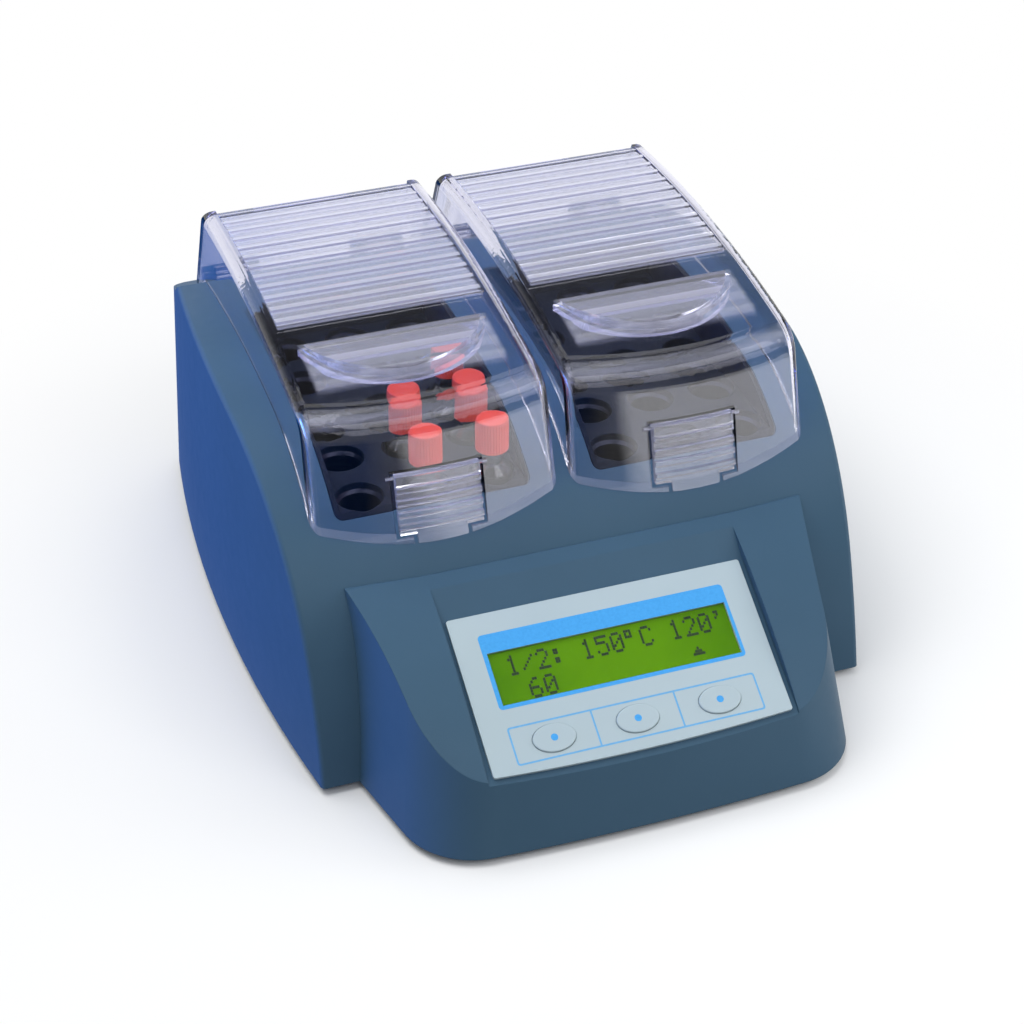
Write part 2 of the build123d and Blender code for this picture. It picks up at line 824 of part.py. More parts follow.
def lid_form(inset, top_inset):
    """Solid form of a lid moved in by the wall, with rounded brow and front corners."""
    low = lid_plan(inset, -lid_plan_depth)
    high = lid_plan(inset, lid_loft_height)
    form = loft([low, high], ruled=True) & side_view(lid_side(inset, top_inset), body_width)
    front = form.edges().filter_by(lambda e: e.center().Y < grip_back_y)
    brow = front.filter_by(lambda e: e.center().Z > latch_top_z and abs(e.center().X) < 1)
    form = fillet(brow, lid_brow_radius - inset)
    front = form.edges().filter_by(lambda e: e.center().Y < grip_back_y)
    corners = front.filter_by(lambda e: abs(e.center().X) > lid_half_width / 2)
    return fillet(corners, lid_corner_radius - inset)


def above_deck():
    """Space that a closed lid may fill above the deck."""
    deck = side_view(offset(deck_outline(0), amount=lid_gap), body_width)
    block = Box(body_width, 2 * body_length, lid_crown_z + form_margin)
    return Pos(0, 0, lid_crown_z / 2) * block - deck


def grip_outline(lip):
    """Half-moon finger grip inside its curved lip: straight back edge, round front."""
    radius = (grip_half**2 + grip_reach**2) / (2 * grip_reach)
    disc = Pos(0, grip_back_y - grip_reach + radius) * Circle(radius - lip)
    behind = Pos(0, grip_back_y - radius) * Rectangle(4 * radius, 2 * radius)
    return disc & behind


def grip_scoop(drop):
    """Space above the grip's sloping back and level floor, lowered by a drop."""
    rim = lid_top(grip_back_y, 0)
    floor = rim - grip_depth - drop
    foot = grip_back_y - grip_slope_run - drop / 2
    ahead = grip_back_y - grip_reach - form_margin
    face = make_face(
        Polyline(
            (grip_back_y + 1, rim - drop + grip_depth / grip_slope_run),
            (foot, floor),
            (ahead, floor),
            (ahead, rim + form_margin),
            (grip_back_y + 1, rim + form_margin),
            close=True,
        )
    )
    return side_view(face, body_width)


def top_band(depth_low, depth_high):
    """Layer that follows the crown between two depths below it."""
    layer = lid_side(0, depth_low)
    under = lid_side(0, depth_high)
    return side_view(layer, body_width) - side_view(under, body_width)


def column(outline):
    """Tall prism on a plan outline, from the tray floor up."""
    return extrude(Pos(0, 0, tray_floor_z) * outline, amount=body_width / 2)


def rib_pocket(grow):
    """Plan outline of the ribbed panel on the lid's top."""
    low = rib_pocket_front_y - grow
    high = lid_back_y
    return Pos(0, (low + high) / 2) * Rectangle(2 * (rib_pocket_half + grow), high - low)


def latch_front(z):
    """Where the lid's outer front face is on the lid's centre line at a height."""
    return lid_front_y + (z - lid_front_z) * tan(radians(lid_front_lean))


def latch_axis_y():
    """The latch pivot lies in the middle of the lid's wall beside the slot."""
    reach = latch_width / 2 + latch_slot
    sag = lid_bow_radius - sqrt(lid_bow_radius**2 - reach**2)
    return latch_front(latch_pivot_z) + sag + lid_wall / 2 / cos(radians(lid_front_lean))


def latch_window(slot):
    """Opening for the latch in the lid's front, or the latch itself with no slot."""
    top = latch_top_z - (latch_slot / 2 if not slot else 0)
    half = latch_width / 2 + slot
    tongue = latch_tongue / 2 + slot
    shoulder = latch_shoulder_z - slot
    y_range = (lid_front_y - form_margin, grip_back_y)
    upper = span_box((-half, half), y_range, (shoulder, top))
    return upper + span_box((-tongue, tongue), y_range, (0, shoulder))


def lid_wall_form():
    """Plain walls of a lid before its openings are cut."""
    floor = rib_pocket_depth + lid_wall
    hollow = lid_form(lid_wall, floor)
    grip = column(grip_outline(0)) & grip_scoop(lid_wall)
    return lid_form(0, 0) - (hollow - grip)


def lid_shell():
    """Clear moulded lid with its ribbed top, finger grip, latch window and knuckles."""
    lid = lid_wall_form()
    pocket = column(rib_pocket(0)) & top_band(0, rib_pocket_depth)
    length = lid_back_top_y - rib_pocket_front_y
    ribs = Part()
    pitch = length / rib_count
    for rib in range(rib_count):
        y = rib_pocket_front_y + (rib + 0.5) * pitch
        bar = Pos(0, y) * Rectangle(2 * rib_pocket_half, rib_width)
        ribs += column(bar) & top_band(rib_pocket_depth - rib_height, rib_pocket_depth)
    lid = lid - (pocket - ribs)
    rim = lid_top(grip_back_y, 0)
    lip = span_box((-grip_half, grip_half), (lid_front_y, grip_back_y), (rim - grip_depth, rim))
    lid += column(grip_outline(0)) & lip
    lid -= column(grip_outline(grip_lip)) & grip_scoop(0)
    lid = lid & above_deck()
    lid -= latch_window(latch_slot)
    reach = latch_width + 2 * (latch_slot + trunnion_reach)
    lid -= rod_x(trunnion_radius + trunnion_clearance, 0, reach, latch_axis_y(), latch_pivot_z)
    step = knuckle_width / 2 + lug_gap + lug_width / 2
    for knuckle in (-1, 1):
        for side in (-1, 1):
            x = knuckle * knuckle_offset + side * step
            lid -= rod_x(lug_relief, x, lug_width + 2 * lug_gap, hinge_y, hinge_z)
    for knuckle in (-1, 1):
        lid += knuckle_form(knuckle * knuckle_offset)
    return lid - hinge_bore(0, pin_radius + pin_clearance)


def knuckle_form(x):
    """One lid knuckle, webbed to the back wall."""
    barrel = rod_x(knuckle_radius, x, knuckle_width, hinge_y, hinge_z)
    web = span_box(
        (x - knuckle_width / 2, x + knuckle_width / 2),
        (lid_back_y - lid_wall - 2, hinge_y),
        (hinge_z - 1, hinge_z + knuckle_radius),
    )
    return barrel + web


def latch_tab():
    """Spring latch in the lid's front: ribbed tab, lower tongue and two trunnions."""
    blank = lid_form(0, 0) - lid_form(lid_wall, rib_pocket_depth + lid_wall)
    tab = blank & above_deck() & latch_window(0)
    layer = lid_form(-latch_bar_depth, -latch_bar_depth) - lid_form(lid_wall / 2, lid_wall)
    top = latch_top_z - latch_slot / 2
    pitch = (top - latch_shoulder_z) / (latch_bars + 1)
    half = latch_width / 2
    for bar in range(latch_bars + 1):
        high = top - bar * pitch
        low = high - (latch_head if bar == 0 else latch_bar)
        slab = span_box((-half, half), (lid_front_y - form_margin, grip_back_y), (low, high))
        tab += layer & slab
    reach = latch_width + 2 * (latch_slot + trunnion_reach) - 2 * trunnion_clearance
    return tab + rod_x(trunnion_radius, 0, reach, latch_axis_y(), latch_pivot_z)


def hinge_pins(centre):
    """The two pins of one lid."""
    length = knuckle_width + 2 * (lug_gap + lug_width)
    pins = [
        rod_x(pin_radius, centre + side * knuckle_offset, length, hinge_y, hinge_z)
        for side in (-1, 1)
    ]
    return Compound(children=pins)


# ================================================================ display and keys
def on_panel(x, y, width, height, low, high):
    """Box on the panel plane between two heights above the panel's face."""
    return panel_plane * Pos(x, y, (low + high) / 2) * Box(width, height, high - low)


def display_window():
    """Clear window, flush in the control panel."""
    return on_panel(0, display_up, display_width, display_height, -panel_thickness, 0)


def key_outline(grow):
    """Oval outline of a key, grown by a clearance."""
    return Ellipse(key_length / 2 + grow, key_width / 2 + grow)


def panel_outline():
    """Panel outline: straight top and sides, bowed low edge, small rounded corners."""
    half = panel_width / 2
    top = panel_length / 2
    outline = make_face(
        [
            Line((half, -top), (half, top)),
            Line((half, top), (-half, top)),
            Line((-half, top), (-half, -top)),
            ThreePointArc((-half, -top), (0, -top - panel_bow), (half, -top)),
        ]
    )
    return fillet(outline.vertices(), panel_corner)


def keypad_panel():
    """Control panel with a display window opening and three key openings."""
    plate = extrude(panel_outline(), amount=-panel_thickness)
    width = display_width + 2 * display_seat_clearance
    height = display_height + 2 * display_seat_clearance
    plate -= Pos(0, display_up, 0) * Box(width, height, 4 * panel_thickness)
    for x, y in key_centres():
        cut = extrude(key_outline(key_clearance), amount=2 * panel_thickness, both=True)
        plate -= Pos(x, y, 0) * cut
    return panel_plane * plate


def key_cap(index):
    """One oval key with the stem that presses its switch."""
    x, y = key_centres()[index]
    low = key_travel + key_clearance - panel_thickness
    cap = extrude(Pos(0, 0, low) * key_outline(0), amount=key_proud - low)
    cap = fillet(cap.faces().sort_by(Axis.Z)[-1].edges(), key_edge)
    bottom = -panel_thickness - wall
    height = low + seat_depth - bottom
    stem = Pos(0, 0, bottom + height / 2) * Cylinder(key_stem_radius, height)
    return panel_plane * Pos(x, y, 0) * (cap + stem)


def board_top():
    """Height of the control board's upper face, measured from the panel's face."""
    return -panel_thickness - wall - board_gap


def control_board():
    """Circuit board under the panel with a switch below each key."""
    top = board_top()
    board = on_panel(0, 0, board_width, board_length, top - board_thickness, top)
    for x, y in board_bosses():
        hole = Pos(x, y, top) * Cylinder(board_screw, 4 * board_thickness)
        board -= panel_plane * hole
    switch_top = -panel_thickness - wall - key_travel - tact_gap
    for x, y in key_centres():
        board += on_panel(x, y, tact_size, tact_size, top - seat_depth, switch_top)
    return board


def display_module():
    """Display on the control board, its face under the window."""
    floor = -panel_thickness - wall
    width = display_width + 2 * display_rim
    height = display_height + 2 * display_rim
    frame = on_panel(0, display_up, width, height, board_top(), floor - tact_gap)
    low = board_top()
    screen = on_panel(0, display_up, display_width, display_height, low, -panel_thickness)
    return frame + screen


def board_screws():
    """Four screws that hold the control board to the casing."""
    top = board_top()
    screws = []
    for x, y in board_bosses():
        low = top - board_thickness
        shank_top = top + board_gap
        shank = Pos(x, y, (low + shank_top) / 2) * Cylinder(board_screw, shank_top - low)
        head = Pos(x, y, low - board_head / 2) * Cylinder(board_boss, board_head)
        screws.append(panel_plane * (shank + head))
    return Compound(children=screws)


# ================================================================ power entry
def power_inlet():
    """Mains inlet socket with its flange and three blades."""
    outline = RectangleRounded(inlet_flange_width, inlet_flange_height, flange_corner)
    flange = extrude(outline, amount=flange_thickness)
    body = Pos(0, 0, -inlet_depth / 2) * Box(inlet_width, inlet_height, inlet_depth)
    socket = Pos(0, 0, flange_thickness) * RectangleRounded(socket_width, socket_height, socket_corner)
    piece = flange + body - extrude(socket, amount=-socket_depth - flange_thickness)
    blade = Box(blade_thickness, blade_width, socket_depth)
    low = -blade_stagger / 2
    for x, y in ((-blade_pitch, low), (0, low + blade_stagger), (blade_pitch, low)):
        piece += Pos(x, y, -socket_depth / 2 - blade_recess) * blade
    return back_plane(inlet_x, inlet_z) * piece


def rocker_frame_outline(grow):
    """Outline of the switch body on the back wall, grown by a border."""
    half = rocker_height / 2 + rocker_clearance + rocker_frame_border + grow
    side = rocker_width / 2 + rocker_clearance + rocker_frame_border + grow
    return Rectangle(2 * side, 2 * half)


def switch_frame():
    """Rear switch body with the opening that its rocker turns in."""
    flange = extrude(rocker_frame_outline(rocker_frame_border), amount=flange_thickness)
    body = extrude(rocker_frame_outline(0), amount=-switch_depth)
    well = Box(
        rocker_width + 2 * rocker_clearance,
        rocker_height + 2 * rocker_clearance,
        2 * (rocker_pivot_depth + rocker_room),
    )
    return back_plane(rocker_x, inlet_z) * (flange + body - well)


def power_rocker():
    """Rocker of the power switch, shown with its lower half pressed."""
    radius = rocker_height / 2
    barrel = Rot(0, 90, 0) * Cylinder(radius, rocker_width)
    face = make_face(
        Polyline(
            (-radius - 1, -rocker_body),
            (radius + 1, -rocker_body),
            (radius + 1, rocker_face),
            (0, rocker_face - rocker_dish),
            (-radius - 1, rocker_face),
            close=True,
        )
    )
    piece = barrel & side_view(face, rocker_width / 2)
    tilted = Rot(rocker_throw, 0, 0) * piece
    return back_plane(rocker_x, inlet_z) * Pos(0, 0, -rocker_pivot_depth) * tilted


# ================================================================ inside the base
def power_board():
    """Power supply board on standoffs, with its relay, capacitor and terminals."""
    x_low = power_board_in[0] - half_width
    y_low = back_y - power_board_in[1]
    low = base_top_z + power_standoff
    x_range = (x_low, x_low + power_board_width)
    y_range = (y_low, y_low + power_board_length)
    board = span_box(x_range, y_range, (low, low + board_thickness))
    edge = 2 * standoff_radius
    for x in (x_range[0] + edge, x_range[1] - edge):
        for y in (y_range[0] + edge, y_range[1] - edge):
            standoff = Cylinder(standoff_radius, power_standoff)
            board += Pos(x, y, base_top_z + power_standoff / 2) * standoff
    top = low + board_thickness - seat_depth
    y = y_low + part_spacing
    for size in (relay_size, terminal_size):
        x = x_low + 2 * part_spacing
        board += span_box((x, x + size[0]), (y, y + size[1]), (top, top + size[2]))
        y += size[1] + part_spacing
    x = x_low + 3 * part_spacing + relay_size[0] + capacitor_radius
    y = y_low + power_board_length / 2
    capacitor = Cylinder(capacitor_radius, capacitor_height)
    return board + Pos(x, y, top + capacitor_height / 2) * capacitor


def transformer():
    """Small mains transformer: laminated core through a wound bobbin."""
    x = half_width - transformer_in[0]
    y = back_y - transformer_in[1]
    core = Pos(x, y, base_top_z + core_height / 2) * Box(core_width, core_depth, core_height)
    bobbin = Box(bobbin_width, bobbin_depth, core_height - 2 * bobbin_inset)
    return core + Pos(x, y, base_top_z + core_height / 2) * bobbin


# ================================================================ files
def main():
    os.makedirs("parts", exist_ok=True)
    tube, sample, cap = vial_pieces()
    casing, console = housings()
    nodes = {
        "housing_shell": casing,
        "console_shell": console,
        "base_plate": base_plate(),
        "rubber_feet": feet(),
        "base_screws": base_screws(),
        "control_board": control_board(),
        "board_screws": board_screws(),
        "display_module": display_module(),
        "display_window": display_window(),
        "keypad_panel": keypad_panel(),
        "key_left": key_cap(0),
        "key_middle": key_cap(1),
        "key_right": key_cap(2),
        "power_inlet": power_inlet(),
        "switch_frame": switch_frame(),
        "power_rocker": power_rocker(),
        "power_board": power_board(),
        "transformer": transformer(),
        "vial_tubes": at_loaded_wells(tube),
        "vial_samples": at_loaded_wells(sample),
        "vial_caps": at_loaded_wells(cap),
    }
    pieces = {
        "block_tray": block_tray(),
        "heater_block": heater_block(),
        "heater_plate": heater_plate(),
        "insulation_jacket": insulation_jacket(),
        "support_posts": support_posts(),
        "temperature_sensor": temperature_sensor(),
        "hinge_pins": hinge_pins(0),
        "lid_shell": lid_shell(),
        "latch_tab": latch_tab(),
    }
    for side, sign in SIDES.items():
        for name, piece in pieces.items():
            nodes[f"{name}_{side}"] = Pos(sign * block_centre_x, 0, 0) * piece
    for name, piece in nodes.items():
        export_step(piece, f"parts/{name}.step")


main()
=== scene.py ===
import json
from math import cos, pi, radians, sin, sqrt

import bmesh
import bpy
from mathutils import Matrix, Vector


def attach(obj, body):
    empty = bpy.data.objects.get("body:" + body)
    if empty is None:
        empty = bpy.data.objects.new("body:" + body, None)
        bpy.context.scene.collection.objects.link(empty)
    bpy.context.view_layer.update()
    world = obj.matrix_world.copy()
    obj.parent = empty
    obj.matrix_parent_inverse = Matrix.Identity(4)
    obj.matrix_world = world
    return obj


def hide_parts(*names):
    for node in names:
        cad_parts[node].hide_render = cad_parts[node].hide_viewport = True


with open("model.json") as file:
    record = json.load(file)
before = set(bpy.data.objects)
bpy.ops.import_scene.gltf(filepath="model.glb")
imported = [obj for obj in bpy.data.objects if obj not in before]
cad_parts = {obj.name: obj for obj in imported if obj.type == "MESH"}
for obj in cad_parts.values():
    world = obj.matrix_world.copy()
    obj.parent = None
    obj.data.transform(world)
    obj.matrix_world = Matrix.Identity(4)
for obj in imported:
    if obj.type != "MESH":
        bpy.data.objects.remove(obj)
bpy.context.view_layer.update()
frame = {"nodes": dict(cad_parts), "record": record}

nodes = frame["nodes"]
MM = 0.001

# ---------------------------------------------------------------- places repeated from the model, in mm
PANEL_SLOPE = radians(29.1)
PANEL_LOW = (-143.5, 33.5)
PANEL_LENGTH = 64.5
PANEL_THICKNESS = 1.5
KEY_PLACES = {"left": -33.4, "middle": 0.0, "right": 33.4}
KEY_DOWN = 22.1
KEY_PROUD = 0.7
DISPLAY_UP = 5.2
DISPLAY = (96.8, 21.4)
BLOCK_X = 52.2
COLUMNS = (-26.7, 0.0, 26.7)
ROWS = (-39.6, -11.9, 15.8, 43.5, 71.2)
LOADED = ((1, 0), (2, 0), (1, 1), (2, 1), (2, 2))
CAP_LOW, CAP_HIGH, CAP_RADIUS = 107.0, 121.0, 6.5
RIBS_FROM, RIB_PITCH = 14.8, 104.2 / 12
NECK_RADIUS, NECK_TOP = 4.4, 117.0
# milky share of the finger grips, and share of a painted highlight along each lid's crease
GRIP_MILK, CREASE_HIGHLIGHT_SHARE = 0.19, 0.16


def panel_frame():
    """Matrix whose XY plane is the control panel's face, in metres."""
    y = PANEL_LOW[0] + PANEL_LENGTH / 2 * cos(PANEL_SLOPE)
    z = PANEL_LOW[1] + PANEL_LENGTH / 2 * sin(PANEL_SLOPE)
    place = Matrix.Translation(Vector((0, y, z)) * MM)
    return place @ Matrix.Rotation(PANEL_SLOPE, 4, "X")


PANEL = panel_frame()


# ---------------------------------------------------------------- materials
class Look:
    """A node material built one node at a time."""

    def __init__(self, name):
        self.mat = bpy.data.materials.new(name)
        self.mat.use_nodes = True
        self.tree = self.mat.node_tree
        self.tree.nodes.clear()
        self.out = self.tree.nodes.new("ShaderNodeOutputMaterial")
        self.place = self.tree.nodes.new("ShaderNodeTexCoord").outputs["Object"]

    def put(self, socket, value):
        if isinstance(value, bpy.types.NodeSocket):
            self.tree.links.new(value, socket)
        elif isinstance(value, (tuple, list)) and len(value) == 3 and socket.type == "RGBA":
            socket.default_value = (*value, 1.0)
        else:
            socket.default_value = value

    def add(self, kind, inputs=None, **settings):
        node = self.tree.nodes.new("ShaderNode" + kind)
        for key, value in settings.items():
            setattr(node, key, value)
        for key, value in (inputs or {}).items():
            self.put(node.inputs[key], value)
        return node

    def noise(self, scale, detail=3.0, rough=0.55, place=None):
        node = self.add("TexNoise", {"Vector": place or self.place, "Scale": scale, "Detail": detail,
                                     "Roughness": rough})
        return node.outputs["Fac"]

    def ramp(self, value, low, high, at=(0.3, 0.7)):
        """Map a value in the range at to low..high, numbers or colours."""
        if isinstance(low, tuple):
            node = self.add("ValToRGB", {"Fac": value})
            first, last = node.color_ramp.elements
            first.position, last.position = at
            first.color, last.color = (*low, 1.0), (*high, 1.0)
            return node.outputs["Color"]
        node = self.add("MapRange", {"Value": value, "From Min": at[0], "From Max": at[1],
                                     "To Min": low, "To Max": high})
        return node.outputs["Result"]

    def math(self, op, a, b=0.0):
        node = self.add("Math", operation=op)
        self.put(node.inputs[0], a)
        self.put(node.inputs[1], b)
        return node.outputs["Value"]

    def bump(self, height, strength, distance, normal=None):
        inputs = {"Height": height, "Strength": strength, "Distance": distance}
        if normal is not None:
            inputs["Normal"] = normal
        return self.add("Bump", inputs).outputs["Normal"]

    def soft_edge(self, radius):
        return self.add("Bevel", {"Radius": radius}, samples=4).outputs["Normal"]

    def principled(self, **inputs):
        node = self.add("BsdfPrincipled", {k.replace("_", " "): v for k, v in inputs.items()})
        return node.outputs["BSDF"]

    def finish(self, shader, volume=None):
        self.tree.links.new(shader, self.out.inputs["Surface"])
        if volume is not None:
            self.tree.links.new(volume, self.out.inputs["Volume"])
        return self.mat


def moulded(name, dark, light, rough=(0.38, 0.5), grain=1500.0, depth=0.00012, edge=0.0, gloss=0.5):
    """Satin moulded plastic with a fine spark-eroded grain."""
    look = Look(name)
    broad = look.noise(18.0, 3.0)
    fine = look.noise(grain, 2.0)
    colour = look.ramp(broad, dark, light)
    shine = look.ramp(look.noise(140.0, 4.0), rough[0], rough[1])
    normal = look.soft_edge(edge) if edge else None
    normal = look.bump(fine, 0.22, depth, normal)
    return look.finish(look.principled(Base_Color=colour, Roughness=shine, Normal=normal, IOR=1.5,
                                       Specular_IOR_Level=gloss))


def ribbed_zone(look):
    """One inside the ribbed panels of the two lids and nought elsewhere."""
    place = look.add("SeparateXYZ", {"Vector": look.place}).outputs
    off = look.math("ABSOLUTE", look.math("SUBTRACT", look.math("ABSOLUTE", place["X"]), BLOCK_X * MM))
    zone = look.ramp(off, 1.0, 0.0, (0.0418, 0.0424))
    for axis, low, high in (("Y", 0.0146, 0.0152), ("Z", 0.118, 0.120)):
        zone = look.math("MULTIPLY", zone, look.ramp(place[axis], 0.0, 1.0, (low, high)))
    return look.math("MULTIPLY", zone, look.ramp(place["Y"], 1.0, 0.0, (0.113, 0.116)))


def grip_zone(look):
    """One inside the half-moon finger grips of the two lids and nought elsewhere."""
    place = look.add("SeparateXYZ", {"Vector": look.place}).outputs
    off = look.math("ABSOLUTE", look.math("SUBTRACT", look.math("ABSOLUTE", place["X"]), BLOCK_X * MM))
    zone = look.ramp(off, 1.0, 0.0, (0.0370, 0.0385))
    for axis, low, high in (("Y", -0.0290, -0.0250), ("Z", 0.1325, 0.1335)):
        zone = look.math("MULTIPLY", zone, look.ramp(place[axis], 0.0, 1.0, (low, high)))
    return look.math("MULTIPLY", zone, look.ramp(place["Y"], 1.0, 0.0, (0.0000, 0.0008)))


def painted_crease_highlight(look):
    """One where a lid rolls over from its top to its front, where a painted highlight band is mixed in."""
    facing = look.add("SeparateXYZ", {"Vector": look.add("TexCoord").outputs["Normal"]}).outputs["Y"]
    return look.math("MULTIPLY", look.ramp(facing, 0.0, 1.0, (-0.80, -0.62)), look.ramp(facing, 1.0, 0.0, (-0.50, -0.32)))


def painted_rib_highlight(look):
    """One along the crests of the lids' ribs, where the milky colour is painted paler as a highlight."""
    along = look.add("SeparateXYZ", {"Vector": look.place}).outputs["Y"]
    turn = look.math("FRACT", look.math("DIVIDE", look.math("SUBTRACT", along, RIBS_FROM * MM), RIB_PITCH * MM))
    return look.ramp(look.math("ABSOLUTE", look.math("SUBTRACT", turn, 0.5)), 1.0, 0.0, (0.12, 0.17))


def clear_plastic(name, tint, haze=(0.03, 0.07), density=30.0, milk=0.0, ribs=0.0):
    """Clear polycarbonate: tinted with depth, faintly wavy, open to lamps, milky by a share; on the lids, painted
    highlights lie along the crease and the rib crests.
    """
    look = Look(name)
    wave = look.noise(32.0, 2.0)
    scuff = look.ramp(look.noise(260.0, 4.0), haze[0], haze[1], (0.45, 0.75))
    normal = look.bump(wave, 0.05, 0.0008)
    through = look.principled(Base_Color=(0.97, 0.97, 1.0), Roughness=scuff, IOR=1.5, Normal=normal,
                              Transmission_Weight=1.0)
    if ribs:
        # on the lids: frosted finger grips, plus a painted highlight band where each lid rolls from top to front
        frost_and_painted_highlight = look.math("ADD", look.math("MULTIPLY", grip_zone(look), GRIP_MILK),
                           look.math("MULTIPLY", painted_crease_highlight(look), CREASE_HIGHLIGHT_SHARE))
        share = look.math("ADD", look.math("MULTIPLY", ribbed_zone(look), ribs), frost_and_painted_highlight)
    else:
        share = look.ramp(wave, milk * 0.9, milk * 1.1)
    # on the lids the milky colour is painted paler along the rib crests, a painted highlight; elsewhere it varies at
    # random
    pale = look.ramp(painted_rib_highlight(look) if ribs else wave, (0.48, 0.49, 0.54), (0.82, 0.82, 0.86))
    cloud = look.principled(Base_Color=pale, Roughness=look.ramp(wave, 0.2, 0.26), IOR=1.5, Normal=normal)
    body = look.add("MixShader")
    look.put(body.inputs[0], share)
    look.put(body.inputs[1], through)
    look.put(body.inputs[2], cloud)
    open_air = look.add("BsdfTransparent", {"Color": (0.93, 0.93, 0.98)}).outputs["BSDF"]
    path = look.add("LightPath").outputs["Is Shadow Ray"]
    mix = look.add("MixShader")
    look.put(mix.inputs[0], path)
    look.put(mix.inputs[1], body.outputs["Shader"])
    look.put(mix.inputs[2], open_air)
    depth = look.add("VolumeAbsorption", {"Color": tint, "Density": density}).outputs["Volume"]
    return look.finish(mix.outputs["Shader"], depth)


def metal(name, dark, light, rough=(0.25, 0.4), stretch=(1.0, 1.0, 40.0), scale=90.0):
    """Turned or brushed metal, its lines drawn out along one axis."""
    look = Look(name)
    drawn = look.add("VectorMath", {0: look.place, 1: stretch}, operation="MULTIPLY").outputs["Vector"]
    lines = look.noise(scale, 3.0, 0.6, drawn)
    colour = look.ramp(lines, dark, light)
    shine = look.ramp(lines, rough[0], rough[1])
    normal = look.bump(lines, 0.12, 0.0001)
    return look.finish(look.principled(Base_Color=colour, Roughness=shine, Metallic=1.0, Normal=normal))


def rubber(name):
    look = Look(name)
    grain = look.noise(1400.0, 3.0)
    colour = look.ramp(look.noise(60.0), (0.012, 0.012, 0.013), (0.03, 0.03, 0.032))
    return look.finish(look.principled(Base_Color=colour, Roughness=look.ramp(grain, 0.7, 0.88),
                                       Normal=look.bump(grain, 0.5, 0.0002)))


def printed(name, low, high, rough=0.4):
    """Ink laid on the panel film."""
    look = Look(name)
    colour = look.ramp(look.noise(900.0, 2.0), low, high)
    return look.finish(look.principled(Base_Color=colour, Roughness=look.ramp(look.noise(500.0), rough, rough + 0.1)))


def lit_display(name):
    """Backlit display: brighter towards its middle, with a faint mottle."""
    look = Look(name)
    place = look.add("SeparateXYZ", {"Vector": look.place})
    across = place.outputs["X"]
    lamp = look.math("COSINE", look.math("MULTIPLY", across, 46.0))
    glow = look.ramp(lamp, 0.0, 1.0, (-1.0, 1.0))
    colour = look.ramp(look.math("ADD", look.math("MULTIPLY", glow, 0.5), look.noise(30.0)),
                       (0.060, 0.190, 0.0010), (0.098, 0.260, 0.0020), (0.3, 1.2))
    shader = look.principled(Base_Color=colour, Roughness=look.ramp(look.noise(700.0), 0.3, 0.42), Specular_IOR_Level=0.1,
                             Emission_Color=colour, Emission_Strength=0.24)
    return look.finish(shader)


def circuit(name):
    look = Look(name)
    cells = look.add("TexVoronoi", {"Vector": look.place, "Scale": 240.0}, feature="DISTANCE_TO_EDGE").outputs["Distance"]
    colour = look.ramp(cells, (0.02, 0.16, 0.05), (0.008, 0.09, 0.03), (0.0, 0.12))
    return look.finish(look.principled(Base_Color=colour, Roughness=look.ramp(cells, 0.25, 0.45, (0.0, 0.3))))


def fibre(name, dark, light):
    look = Look(name)
    wool = look.noise(700.0, 6.0, 0.7)
    return look.finish(look.principled(Base_Color=look.ramp(wool, dark, light), Roughness=look.ramp(wool, 0.8, 0.95),
                                       Normal=look.bump(wool, 0.7, 0.0006)))


def glass(name, tint, density, rough=0.01, ior=1.5):
    look = Look(name)
    shine = look.ramp(look.noise(90.0), rough, rough + 0.02)
    clear = look.principled(Base_Color=(1.0, 1.0, 1.0), Roughness=shine, IOR=ior, Transmission_Weight=1.0)
    open_air = look.add("BsdfTransparent", {"Color": (0.95, 0.96, 0.96)}).outputs["BSDF"]
    mix = look.add("MixShader")
    look.put(mix.inputs[0], look.add("LightPath").outputs["Is Shadow Ray"])
    look.put(mix.inputs[1], clear)
    look.put(mix.inputs[2], open_air)
    depth = look.add("VolumeAbsorption", {"Color": tint, "Density": density}).outputs["Volume"]
    return look.finish(mix.outputs["Shader"], depth)


